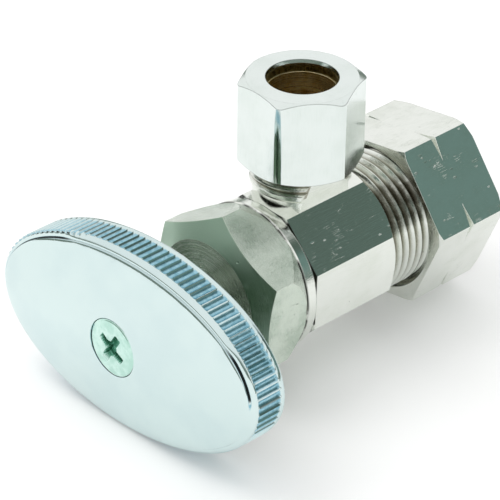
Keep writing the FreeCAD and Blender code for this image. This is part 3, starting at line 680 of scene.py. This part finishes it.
SCREW_RADIUS, SHANK_RADIUS = 4.24, 1.53
HEAD_BACK, SHANK_END = 1.46, 8.88    # behind the crown of the dome
SLOT_TURN = math.radians(58)
SLOT_HALF_WIDTH, SLOT_REACH, SLOT_DEPTH = 0.58, 2.45, 1.15
SLOT_CENTRE_RADIUS, SLOT_CENTRE_DEPTH = 1.15, 1.3
SCREW_CELLS = 96


def cross_recess(x, z):
    """Depth of the cross slot at a point of the head, in millimetres."""
    u = x * math.cos(SLOT_TURN) + z * math.sin(SLOT_TURN)
    v = z * math.cos(SLOT_TURN) - x * math.sin(SLOT_TURN)
    deepest = 0.0
    for along, aside in ((u, v), (v, u)):
        wall = min(1.0, max(0.0, (SLOT_HALF_WIDTH - abs(aside)) / 0.12))
        end = min(1.0, max(0.0, (SLOT_REACH - abs(along)) / 0.45))
        deepest = max(deepest, SLOT_DEPTH * wall * end)
    inside = SLOT_CENTRE_RADIUS - math.hypot(x, z)
    return max(deepest, SLOT_CENTRE_DEPTH * min(1.0, max(0.0, inside / 0.4)))


def head_depth(x, z):
    """Depth behind the crown at a point of the head: a low dome with a rolled edge, and the slot."""
    radius = math.hypot(x, z) / SCREW_RADIUS
    rolled = 0.1 * smooth(radius, 0.92, 1.0)
    return -0.08 + 0.2 * radius * radius + rolled + cross_recess(x, z)


def add_screw():
    """A low-domed cross-slot head on its shank: a grid pressed into a disc, then rings down the side."""
    data = bmesh.new()
    kind_layer = data.verts.layers.float.new("kind")
    size = SCREW_CELLS
    grid = {}

    def vertex(x, depth, z, kind=0.0):
        made = data.verts.new(Vector((x * MM, (CROWN_Y + depth) * MM, z * MM)))
        made[kind_layer] = kind
        return made

    for row in range(size + 1):
        for column in range(size + 1):
            a, b = 2 * column / size - 1, 2 * row / size - 1
            x = SCREW_RADIUS * a * math.sqrt(1 - b * b / 2)
            z = SCREW_RADIUS * b * math.sqrt(1 - a * a / 2)
            # the kind is how deep the cross slot is at a point, and sets where the slot's shade is painted
            grid[column, row] = vertex(x, head_depth(x, z), z, smooth(cross_recess(x, z), 0.05, 0.9))
    for row in range(size):
        for column in range(size):
            data.faces.new((grid[column, row], grid[column + 1, row],
                            grid[column + 1, row + 1], grid[column, row + 1]))
    edge = [(k, 0) for k in range(size)] + [(size, k) for k in range(size)]
    edge += [(size - k, size) for k in range(size)] + [(0, size - k) for k in range(size)]
    last = [grid[key] for key in edge]
    directions = [(v.co.x / MM, v.co.z / MM) for v in last]
    for radius, depth in ((SCREW_RADIUS, 0.62), (SCREW_RADIUS, HEAD_BACK), (SHANK_RADIUS, HEAD_BACK + 0.01),
                          (SHANK_RADIUS, SHANK_END - 0.48), (1.1, SHANK_END)):
        line = []
        for x, z in directions:
            length = math.hypot(x, z)
            line.append(vertex(radius * x / length, depth, radius * z / length))
        for index in range(len(line)):
            follower = (index + 1) % len(line)
            data.faces.new((last[index], last[follower], line[follower], line[index]))
        last = line
    data.faces.new(last)
    piece = finish_mesh("cross_head_screw", data, 40)
    piece.data.materials.append(zinc())
    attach(piece, "stem_and_handle")
    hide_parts("handle_screw")


def zinc():
    """Clear zinc plate with a pale green cast, and painted shade in the slot."""
    material, graph, sockets = new_material("zinc_plate")
    place = millimetres(graph)
    node = graph.tree.nodes.new("ShaderNodeAttribute")
    node.attribute_name = "kind"
    slot = node.outputs["Fac"]
    cloud = graph.noise(place, 0.8, 3.0)
    base = graph.mix(graph.ramp(cloud, 0.35, 0.65), linear(202, 231, 222), linear(180, 216, 204))
    # painted shade in the cross slot
    graph.put(sockets["Base Color"], graph.mix(slot, base, linear(92, 150, 128)))
    marks = grain(graph, place, "Y", True)
    graph.put(sockets["Roughness"], graph.math("ADD", graph.ramp(marks, 0.35, 0.65, 0.14, 0.24),
                                               graph.math("MULTIPLY", slot, 0.08)))
    height = graph.math("SUBTRACT", marks, graph.math("MULTIPLY", dents(graph, place, 0.3), 2.0))
    graph.put(sockets["Normal"], graph.bump(height, 0.008 * MM))
    return material


# ---------------------------------------------------------------- stage

def add_stage():
    """A plain pale floor just under the valve."""
    floor_z = cad_low.z - 0.0002
    mesh = bpy.data.meshes.new("floor")
    data = bmesh.new()
    bmesh.ops.create_grid(data, x_segments=8, y_segments=8, size=3.0)
    data.to_mesh(mesh)
    data.free()
    floor = bpy.data.objects.new("floor", mesh)
    floor.location = (0, OUTLET_Y * MM, floor_z)
    bpy.context.scene.collection.objects.link(floor)
    material, graph, sockets = new_material("floor_paint", 0.0)
    place = graph.node("ShaderNodeTexCoord", out=3)
    cloud = graph.noise(place, 3.0, 2.0)
    graph.put(sockets["Base Color"], graph.mix(cloud, (0.93, 0.93, 0.93, 1), (0.945, 0.945, 0.94, 1)))
    sockets["Roughness"].default_value = 0.7
    sockets["Specular IOR Level"].default_value = 0.2
    sockets["Emission Color"].default_value = (1, 1, 1, 1)
    sockets["Emission Strength"].default_value = 0.12
    mesh.materials.append(material)


def add_world():
    """A white studio with a dark opening behind on the right, and a dim band round the horizon."""
    world = bpy.data.worlds.new("studio")
    bpy.context.scene.world = world
    world.use_nodes = True
    graph = Graph(world.node_tree)
    background = world.node_tree.nodes["Background"]
    direction = graph.node("ShaderNodeTexCoord", out=0)
    height = graph.split(direction)[2]
    colour = graph.mix(graph.ramp(height, 0.1, 0.3), (0.2, 0.245, 0.21, 1), (1.06, 1.06, 1.06, 1))
    facing = graph.vector("DOT_PRODUCT", direction, Vector((0.62, 0.60, 0.505)).normalized(), out=1)
    opening = graph.mix(graph.ramp(height, 0.43, 0.6), (0.165, 0.262, 0.242, 1), (0.098, 0.136, 0.116, 1))
    colour = graph.mix(graph.ramp(facing, 0.84, 0.97), colour, opening)
    seen = graph.node("ShaderNodeLightPath", out=0)
    graph.put(background.inputs["Color"], graph.mix(seen, colour, (1.05, 1.05, 1.05, 1)))


def add_key_light():
    """A soft round light above the handle's side, kept out of the reflections."""
    place, aim = Vector((-0.35, -0.30, 0.75)), Vector((0, OUTLET_Y * MM, 0))
    data = bpy.data.lights.new("key", "AREA")
    data.shape = "DISK"
    data.size = 0.5
    data.energy = 1.5
    light = bpy.data.objects.new("key", data)
    light.location = place
    light.visible_glossy = False
    light.rotation_mode = "QUATERNION"
    light.rotation_quaternion = (place - aim).to_track_quat("Z", "Y")
    bpy.context.scene.collection.objects.link(light)


# ---------------------------------------------------------------- materials of the CAD pieces

CREAM, CREAM_STAIN = linear(228, 231, 225), linear(221, 225, 217)
# painted shade for the seams between the bonnet nut, the collar and the body
SEAM_SHADE = linear(38, 40, 34)


def dress(node, material):
    """Give a CAD piece its material."""
    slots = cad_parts[node].data.materials
    slots.clear()
    slots.append(material)


def dress_body():
    """Nickel outside, bare dark brass in the bores, painted shade in the thread grooves and the seams, and a
    painted dark reflection along one side of the barrel's thread.
    """
    # painted shade in the thread grooves, a painted dark reflection on one side of the barrel's thread,
    # painted shade in the seams
    patches = ((thread_groove_shade, linear(112, 106, 80), 0.12), (thread_dark_reflection, linear(74, 68, 50), 0.1),
               (seam_shade, SEAM_SHADE, 0.3))
    dress("valve_body", plated("nickel_body", CREAM, CREAM_STAIN, (0.07, 0.16), edge=0.05, nicks=0.45,
                               scratch=0.8, patches=patches,
                               inside=(body_bores, linear(104, 74, 38), linear(66, 46, 24))))


def dress_nuts():
    """The inlet nut is the most knocked, the outlet nut the cleanest, the bonnet nut satin and turned."""
    # the inlet nut's bright edge lines: edge wear with a painted highlight
    dress("inlet_nut", plated("nickel_inlet_nut", CREAM, CREAM_STAIN, (0.07, 0.17), nicks=0.75, scratch=1.0,
                              edge_line_paint=(linear(240, 242, 236), 0.1, 0.2)))
    # the outlet nut's dark edge lines are painted shade
    dress("outlet_nut", plated("nickel_outlet_nut", linear(222, 229, 226), linear(216, 224, 220),
                               (0.07, 0.15), "Z", grain_depth=0.006, scratch=0.3, nicks=0.12,
                               inside=(outlet_bore, linear(150, 138, 88), linear(104, 92, 50)),
                               edge_line_paint=(linear(74, 82, 76), 0.18, 0.0)))
    # painted shade on the front cone and along the rear seam
    patches = (front_cone_shade, linear(148, 172, 154), 0.14), (rear_seam_shade, SEAM_SHADE, 0.3)
    # the bonnet nut's bright edge lines: edge wear with a painted highlight
    dress("bonnet_nut", plated("satin_nickel", linear(208, 218, 206), linear(178, 192, 178), (0.16, 0.3),
                               turned=True, grain_depth=0.045, patches=patches,
                               edge_line_paint=(linear(250, 252, 244), 0.14, 0.3)))


def dress_inner_pieces():
    """The stem, the brass sleeves, washers and screw, and the rubber seals."""
    dress("stem", plated("nickel_stem", linear(170, 178, 168), linear(150, 160, 148), (0.12, 0.24),
                         turned=True))
    dress("inlet_sleeve", brass("inlet_sleeve_brass", linear(226, 200, 140), linear(196, 164, 98)))
    dress("outlet_sleeve", brass("outlet_sleeve_brass", linear(252, 240, 196), linear(232, 210, 150), "Z",
                                 (0.2, 0.35)))
    inner = brass("inner_brass", linear(214, 182, 112), linear(176, 140, 78))
    for node in ("packing_washer_inner", "packing_washer_outer", "seat_washer_screw"):
        dress(node, inner)
    soft_black = rubber()
    for node in ("packing_ring", "seat_washer"):
        dress(node, soft_black)


add_camera()
add_stage()
add_world()
add_key_light()
add_handle()
add_screw()
dress_body()
dress_nuts()
dress_inner_pieces()

scene = bpy.context.scene
scene.view_settings.view_transform = "Standard"
scene.view_settings.look = "None"
